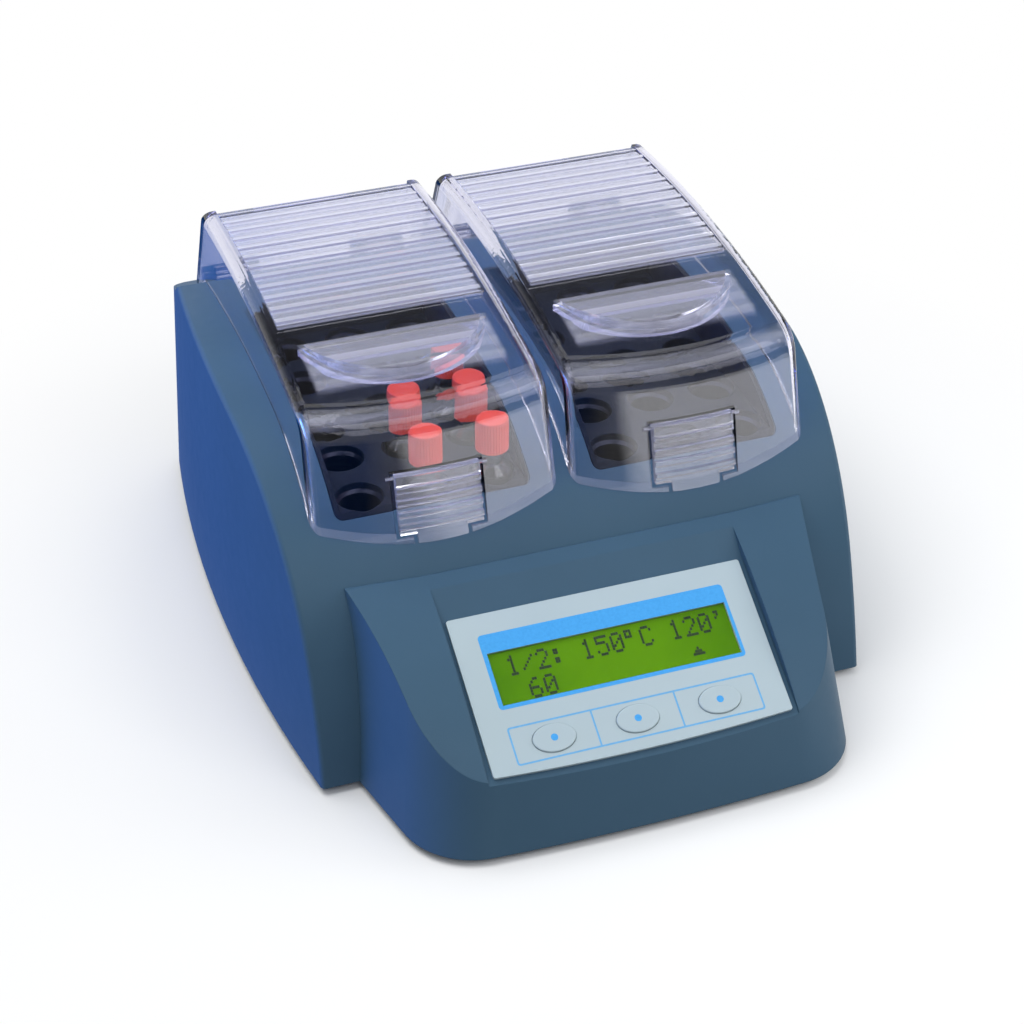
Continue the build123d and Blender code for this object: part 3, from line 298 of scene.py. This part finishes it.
looks = {
    "casing": moulded("casing", (0.047, 0.104, 0.165), (0.051, 0.111, 0.176), (0.46, 0.52), edge=0.0005, gloss=0.22),
    "base": moulded("base", (0.018, 0.020, 0.024), (0.026, 0.028, 0.032), (0.5, 0.62)),
    "feet": rubber("feet"),
    "steel": metal("steel", (0.50, 0.50, 0.52), (0.66, 0.66, 0.68)),
    # the heater block shows only down the wells; its metal is coloured near-black, painted shade for the wells' dark
    # insides
    "block_metal": metal("block_metal", (0.045, 0.050, 0.075), (0.080, 0.088, 0.120), (0.35, 0.5)),
    "tray_black": moulded("tray_black", (0.006, 0.010, 0.020), (0.010, 0.015, 0.028), (0.28, 0.4), 1900.0,
                          edge=0.0006, gloss=0.2),
    "insulation": fibre("insulation", (0.46, 0.44, 0.38), (0.66, 0.64, 0.57)),
    "heater": metal("heater", (0.45, 0.44, 0.42), (0.58, 0.57, 0.55), (0.4, 0.55)),
    "posts": moulded("posts", (0.42, 0.40, 0.34), (0.50, 0.48, 0.42), (0.5, 0.6)),
    "lid_clear": clear_plastic("lid_clear", (0.28, 0.27, 0.92), density=20.0, ribs=0.37),
    "panel": moulded("panel", (0.42, 0.52, 0.565), (0.45, 0.55, 0.595), (0.36, 0.46), 2600.0, 0.00006, 0.0003, 0.3),
    "window": clear_plastic("window", (0.75, 0.9, 0.7), (0.02, 0.04), 12.0),
    "display": lit_display("display"),
    "key_grey": moulded("key_grey", (0.42, 0.52, 0.565), (0.45, 0.55, 0.595), (0.36, 0.46), 2600.0, 0.00006, 0.0002, 0.3),
    "circuit_board": circuit("circuit_board"),
    "socket_black": moulded("socket_black", (0.008, 0.008, 0.009), (0.014, 0.014, 0.016), (0.3, 0.42)),
    "core": metal("core", (0.10, 0.10, 0.11), (0.18, 0.18, 0.19), (0.45, 0.6), (1.0, 60.0, 1.0), 60.0),
    "vial_glass": glass("vial_glass", (0.75, 0.95, 0.88), 8.0),
    "sample": glass("sample", (0.95, 0.45, 0.02), 160.0, 0.0, 1.34),
    "cap_red": moulded("cap_red", (0.74, 0.050, 0.030), (0.84, 0.085, 0.055), (0.3, 0.42), 1600.0),
}
slot_of = {s["node"]: s["material_slot"] for s in frame["record"]["subparts"]}
latch_look = clear_plastic("latch_clear", (0.45, 0.48, 0.80), (0.03, 0.06), 14.0, 0.12)
for name, obj in nodes.items():
    obj.data.materials.clear()
    obj.data.materials.append(latch_look if name.startswith("latch_tab") else looks[slot_of[name]])

ink_blue = printed("ink_blue", (0.045, 0.34, 0.78), (0.06, 0.39, 0.84))
ink_line = printed("ink_line", (0.13, 0.40, 0.72), (0.16, 0.44, 0.76))
ink_dark = printed("ink_dark", (0.010, 0.028, 0.006), (0.016, 0.040, 0.010), 0.5)
ink_white = printed("ink_white", (0.70, 0.71, 0.72), (0.78, 0.79, 0.80))


# ---------------------------------------------------------------- mesh helpers
def piece(name, bm, look, body, smooth=True):
    """Turn a bmesh in metres into a finished piece on a body."""
    bmesh.ops.remove_doubles(bm, verts=bm.verts, dist=1e-7)
    bmesh.ops.recalc_face_normals(bm, faces=bm.faces)
    data = bpy.data.meshes.new(name)
    bm.to_mesh(data)
    bm.free()
    if smooth:
        data.shade_smooth()
        data.set_sharp_from_angle(angle=radians(35))
    obj = bpy.data.objects.new(name, data)
    bpy.context.scene.collection.objects.link(obj)
    data.materials.append(look)
    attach(obj, body)
    return obj


def slab(bm, outline, low, high, frame_matrix, hole=None):
    """A thin plate on an outline of (x, y) points in mm, with an optional hole of as many points."""
    levels = (low, high)
    rings = []
    for points in (outline, hole) if hole else (outline,):
        rings.append([[bm.verts.new(frame_matrix @ (Vector((x, y, z)) * MM)) for x, y in points] for z in levels])
    for k, ring in enumerate(rings):
        bottom, top = ring
        for i in range(len(bottom)):
            j = (i + 1) % len(bottom)
            bm.faces.new((bottom[i], bottom[j], top[j], top[i]))
    for level in (0, 1):
        if hole:
            outer, inner = rings[0][level], rings[1][level]
            for i in range(len(outer)):
                j = (i + 1) % len(outer)
                bm.faces.new((outer[i], outer[j], inner[j], inner[i]))
        else:
            bm.faces.new(rings[0][level])


def rounded(x, y, width, height, corner, steps=6):
    """Points of a rounded rectangle about a centre, in mm."""
    points = []
    for cx, cy, start in ((1, 1, 0), (-1, 1, 90), (-1, -1, 180), (1, -1, 270)):
        for k in range(steps + 1):
            a = radians(start + 90 * k / steps)
            points.append((x + cx * (width / 2 - corner) + corner * cos(a),
                           y + cy * (height / 2 - corner) + corner * sin(a)))
    return points


def oval(x, y, half_x, half_y, steps=40):
    return [(x + half_x * cos(2 * pi * k / steps), y + half_y * sin(2 * pi * k / steps)) for k in range(steps)]


def bar(bm, x, y, width, height, low, high, matrix):
    slab(bm, [(x - width / 2, y - height / 2), (x + width / 2, y - height / 2),
              (x + width / 2, y + height / 2), (x - width / 2, y + height / 2)], low, high, matrix)


# ---------------------------------------------------------------- printed panel
FILM = 0.03
bm = bmesh.new()
slab(bm, rounded(-0.2, 8.25, 100.0, 30.9, 1.6), 0, FILM, PANEL,
     rounded(-0.0, DISPLAY_UP, DISPLAY[0] + 0.2, DISPLAY[1] + 0.2, 0.2))
piece("display_border", bm, ink_blue, "reactor")

bm = bmesh.new()
slab(bm, rounded(0, -22.1, 99.8, 15.4, 1.2), 0, FILM, PANEL, rounded(0, -22.1, 98.4, 14.0, 0.8))
for x in (-16.75, 16.75):
    bar(bm, x, -22.1, 0.7, 14.0, 0, FILM, PANEL)
piece("key_lines", bm, ink_line, "reactor")

for name, x in KEY_PLACES.items():
    bm = bmesh.new()
    slab(bm, oval(x, -KEY_DOWN, 1.4, 1.4), KEY_PROUD, KEY_PROUD + FILM, PANEL)
    piece(f"key_dot_{name}", bm, ink_blue, f"{name}_key")

# ---------------------------------------------------------------- display
FACE = -PANEL_THICKNESS
bm = bmesh.new()
slab(bm, rounded(0, DISPLAY_UP, DISPLAY[0], DISPLAY[1], 0.2), FACE + 0.02, FACE + 0.06, PANEL)
piece("display_face", bm, looks["display"], "reactor", False)

bm = bmesh.new()
slab(bm, rounded(0, DISPLAY_UP, DISPLAY[0], DISPLAY[1], 0.2), -0.75, -0.02, PANEL)
glass_piece = piece("display_glass", bm, looks["window"], "reactor", False)
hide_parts("display_window")

GLYPHS = {
    "0": "01110 10001 10011 10101 11001 10001 01110",
    "1": "00100 01100 00100 00100 00100 00100 01110",
    "2": "01110 10001 00001 00010 00100 01000 11111",
    "5": "11111 10000 11110 00001 00001 10001 01110",
    "6": "00110 01000 10000 11110 10001 10001 01110",
    "/": "00000 00001 00010 00100 01000 10000 00000",
    "C": "01110 10001 10000 10000 10000 10001 01110",
    ":": "00000 01100 01100 00000 01100 01100 00000",
    "o": "11100 10100 11100 00000 00000 00000 00000",
    "'": "01100 00100 01000 00000 00000 00000 00000",
    "^": "00000 00000 00100 01110 11111 00000 00000",
}
ROW_TOPS = (13.9, 3.4)
TEXT = (" 1/2: 150oC 120'", "  60         ^  ")
CELL, DOT_X, DOT_Y = 6.02, 0.98, 1.19
bm = bmesh.new()
for top, line in zip(ROW_TOPS, TEXT):
    for column, letter in enumerate(line):
        if letter == " ":
            continue
        left = -48.9 + column * CELL + 0.55
        for j, bits in enumerate(GLYPHS[letter].split()):
            for i, bit in enumerate(bits):
                if bit == "1":
                    bar(bm, left + (i + 0.5) * DOT_X, top - (j + 0.5) * DOT_Y, DOT_X * 0.93, DOT_Y * 0.93,
                        FACE + 0.07, FACE + 0.12, PANEL)
piece("display_figures", bm, ink_dark, "reactor", False)


# ---------------------------------------------------------------- mains inlet and switch
def back_frame(x):
    """Matrix whose XY plane is the leaning back wall, facing outwards, in metres."""
    lean = radians(3.3)
    y = BACK_Y - (INLET_Z - 3.2) * sin(lean) / cos(lean)
    axes = Matrix(((-1, 0, 0, x * MM), (0, -sin(lean), cos(lean), y * MM), (0, cos(lean), sin(lean), INLET_Z * MM),
                   (0, 0, 0, 1)))
    return axes


def post(bm, x, y, width, height, levels, matrix):
    """A closed stack of rounded rectangles, each level a height and an inset."""
    rings = []
    for z, inset in levels:
        outline = rounded(x, y, width - 2 * inset, height - 2 * inset, 0.3, 2)
        rings.append([bm.verts.new(matrix @ (Vector((px, py, z)) * MM)) for px, py in outline])
    for low, high in zip(rings, rings[1:]):
        for i in range(len(low)):
            j = (i + 1) % len(low)
            bm.faces.new((low[i], low[j], high[j], high[i]))
    bm.faces.new(rings[0])
    bm.faces.new(rings[-1])


BACK_Y, INLET_Z, INLET_X, ROCKER_X = 155.0, 34.0, 74.0, 30.0
bm = bmesh.new()
for x, y in ((-7.0, -1.75), (0.0, 1.75), (7.0, -1.75)):
    post(bm, x, y, 2.08, 4.08, ((-15.9, 0.0), (-2.3, 0.0), (-1.9, 0.35)), back_frame(INLET_X))
piece("inlet_blades", bm, looks["steel"], "reactor", False)

bm = bmesh.new()
tilted = back_frame(ROCKER_X) @ Matrix.Translation((0, 0, -3.0 * MM)) @ Matrix.Rotation(radians(9), 4, "X")
for side in (1, -1):
    slope = Matrix.Rotation(side * radians(5.7), 4, "X")
    face = tilted @ Matrix.Translation((0, side * 6.0 * MM, 2.4 * MM)) @ slope
    if side > 0:
        bar(bm, 0, 0, 0.7, 4.4, 0.02, 0.05, face)
    else:
        slab(bm, oval(0, 0, 2.3, 2.3), 0.02, 0.05, face, oval(0, 0, 1.65, 1.65))
piece("rocker_marks", bm, ink_white, "rocker", False)

# ---------------------------------------------------------------- vial caps
def knurled_cap(bm, x, y):
    """Screw cap with grip ribs round its side, a rounded rim and an open skirt."""
    teeth, steps = 36, 4
    count = teeth * steps
    rings = [(CAP_LOW, 0.0, 0.0), (CAP_LOW + 0.6, 0.0, 0.0), (CAP_LOW + 1.2, 0.0, 1.0),
             (CAP_HIGH - 2.0, 0.0, 1.0), (CAP_HIGH - 1.2, 0.05, 0.2), (CAP_HIGH - 0.45, 0.28, 0.0),
             (CAP_HIGH - 0.1, 0.8, 0.0), (CAP_HIGH, 1.5, 0.0)]
    made = []
    for z, inset, ribs in rings:
        ring = []
        for k in range(count):
            wave = (0.0, 0.22, 0.3, 0.22)[k % steps]
            r = CAP_RADIUS - inset - ribs * wave
            a = 2 * pi * k / count
            ring.append(bm.verts.new(Vector((x + r * cos(a), y + r * sin(a), z)) * MM))
        made.append(ring)
    for low, high in zip(made, made[1:]):
        for k in range(count):
            j = (k + 1) % count
            bm.faces.new((low[k], low[j], high[j], high[k]))
    dish = [bm.verts.new(Vector((x + 4.2 * cos(2 * pi * k / count), y + 4.2 * sin(2 * pi * k / count),
                                 CAP_HIGH - 0.25)) * MM) for k in range(count)]
    for k in range(count):
        j = (k + 1) % count
        bm.faces.new((made[-1][k], made[-1][j], dish[j], dish[k]))
    bm.faces.new(dish)
    inner = [[bm.verts.new(Vector((x + (NECK_RADIUS + 0.02) * cos(2 * pi * k / count),
                                   y + (NECK_RADIUS + 0.02) * sin(2 * pi * k / count), z)) * MM)
              for k in range(count)] for z in (CAP_LOW, NECK_TOP)]
    for k in range(count):
        j = (k + 1) % count
        bm.faces.new((made[0][k], made[0][j], inner[0][j], inner[0][k]))
        bm.faces.new((inner[0][k], inner[0][j], inner[1][j], inner[1][k]))
    bm.faces.new(inner[1])


bm = bmesh.new()
for column, row in LOADED:
    knurled_cap(bm, -BLOCK_X + COLUMNS[column], ROWS[row])
caps = piece("screw_caps", bm, looks["cap_red"], "reactor")
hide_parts("vial_caps")

# ---------------------------------------------------------------- camera
scene = bpy.context.scene
scene.view_settings.view_transform = "Standard"
camera = bpy.data.objects.new("camera", bpy.data.cameras.new("camera"))
scene.collection.objects.link(camera)
camera.data.lens = 80.91
camera.data.sensor_width = 36
camera.location = (-0.2611, -0.7411, 0.6023)
aim = Vector((0, 0.00905, 0.0369)) - camera.location
camera.rotation_euler = aim.to_track_quat("-Z", "Y").to_euler()
scene.camera = camera

# ---------------------------------------------------------------- floor and light

class Sky(Look):
    """The world's nodes, built the same way."""

    def __init__(self, world):
        world.use_nodes = True
        self.mat = world
        self.tree = world.node_tree
        self.tree.nodes.clear()
        self.out = self.tree.nodes.new("ShaderNodeOutputWorld")
        self.place = self.tree.nodes.new("ShaderNodeTexCoord").outputs["Generated"]


def studio_white(look, kind, strength, front, tint, card=0.0):
    """White to the camera and through clear plastic; in reflections tinted, dimmer in front, with a lit card."""
    along = look.add("SeparateXYZ", {"Vector": look.place}).outputs["Y"]
    dimmer = look.math("ADD", look.math("MULTIPLY", look.ramp(along, 0.3, 1.0, front), strength), card)
    plain = look.add(kind, {"Color": (1.0, 1.0, 1.0), "Strength": strength}).outputs[0]
    mirrored = look.add(kind, {"Color": tint, "Strength": dimmer}).outputs[0]
    return mixed(look, look.add("LightPath").outputs["Is Glossy Ray"], plain, mirrored)


def mixed(look, share, first, second):
    node = look.add("MixShader")
    for k, value in enumerate((share, first, second)):
        look.put(node.inputs[k], value)
    return node.outputs["Shader"]


floor_look = Look("floor")
soft = floor_look.noise(3.0)
path = floor_look.add("LightPath").outputs
pale = floor_look.math("SUBTRACT", floor_look.ramp(soft, 0.90, 0.93),
                       floor_look.math("MULTIPLY", path["Is Diffuse Ray"], 0.42))
near = floor_look.principled(Base_Color=pale, Roughness=floor_look.ramp(soft, 0.7, 0.8))
across = floor_look.add("SeparateXYZ", {"Vector": floor_look.place}).outputs["X"]
strip = floor_look.math("ABSOLUTE", floor_look.math("ADD", across, 0.33))
strip = floor_look.ramp(floor_look.ramp(strip, 0.0, 1.0, (0.18, 0.34)), (0.02, 0.11, 0.42), (1.0, 1.0, 1.0), (0.0, 1.0))
along = floor_look.add("SeparateXYZ", {"Vector": floor_look.place}).outputs["Y"]
card = floor_look.math("MULTIPLY", floor_look.ramp(across, 0.0, 2.4, (0.06, 0.17)), floor_look.ramp(along, 1.0, 0.0, (-0.22, -0.17)))
far = studio_white(floor_look, "Emission", 1.0, (-0.3, -0.05), strip, card)
reach = floor_look.add("VectorMath", {0: floor_look.place}, operation="LENGTH").outputs["Value"]
through = floor_look.math("MAXIMUM", path["Is Camera Ray"], path["Is Transmission Ray"])
through = floor_look.math("MULTIPLY", through, floor_look.ramp(reach, 0.0, 1.0, (0.16, 0.34)))
share = floor_look.math("MAXIMUM", through, path["Is Glossy Ray"])
floor_look.finish(mixed(floor_look, share, near, far))
bm = bmesh.new()
bmesh.ops.create_grid(bm, x_segments=1, y_segments=1, size=5.0)
floor_mesh = bpy.data.meshes.new("floor")
bm.to_mesh(floor_mesh)
bm.free()
floor = bpy.data.objects.new("floor", floor_mesh)
floor.location = (0, 0, -0.0002)
floor_mesh.materials.append(floor_look.mat)
scene.collection.objects.link(floor)

world = bpy.data.worlds.new("studio")
scene.world = world
sky = Sky(world)
height = sky.add("SeparateXYZ", {"Vector": sky.place}).outputs["Z"]
rise = sky.add("MapRange", {"Value": height, "From Min": 0.1, "From Max": 0.75, "To Min": 1.0, "To Max": 0.06},
               interpolation_type="SMOOTHSTEP").outputs["Result"]
seen = studio_white(sky, "Background", rise, (-0.6, 0.1), (1.0, 1.0, 1.0))
fill = sky.add("Background", {"Color": (0.90, 0.94, 1.0), "Strength": sky.ramp(height, 0.04, 0.62, (-0.1, 0.9))})
path = sky.add("LightPath").outputs
direct = sky.math("MAXIMUM", path["Is Camera Ray"], path["Is Glossy Ray"])
direct = sky.math("MAXIMUM", direct, path["Is Transmission Ray"])
sky.finish(mixed(sky, direct, fill.outputs["Background"], seen))


def softbox(name, place, target, size, power, colour=(1, 1, 1)):
    data = bpy.data.lights.new(name, "AREA")
    data.shape = "RECTANGLE"
    data.size, data.size_y = size
    data.energy = power
    data.color = colour
    lamp = bpy.data.objects.new(name, data)
    lamp.location = place
    lamp.rotation_euler = (Vector(target) - Vector(place)).to_track_quat("-Z", "Y").to_euler()
    scene.collection.objects.link(lamp)
    return lamp


softbox("top_box", (0.34, -0.80, 0.96), (0, -0.04, 0.09), (1.1, 0.36), 3.3)
overhead = softbox("sky_box", (-0.35, 0.10, 1.10), (0, 0, 0.08), (0.8, 0.8), 6.8)
softbox("back_box", (0.1, 0.55, 1.15), (0, 0.05, 0.08), (0.9, 0.35), 1.4)
softbox("right_box", (0.98, -0.40, 0.36), (0, 0, 0.08), (0.5, 0.5), 3.0)
glow = softbox("left_box", (-0.75, 0.22, 0.20), (-0.1, 0.0, 0.06), (0.5, 0.3), 5.0, (0.03, 0.24, 1.0))
kept_white = bpy.data.collections.new("kept_white")
kept_white.objects.link(floor)
kept_white.collection_objects[0].light_linking.link_state = "EXCLUDE"
glow.light_linking.receiver_collection = kept_white
for lamp in (glow, overhead):
    lamp.visible_glossy = False
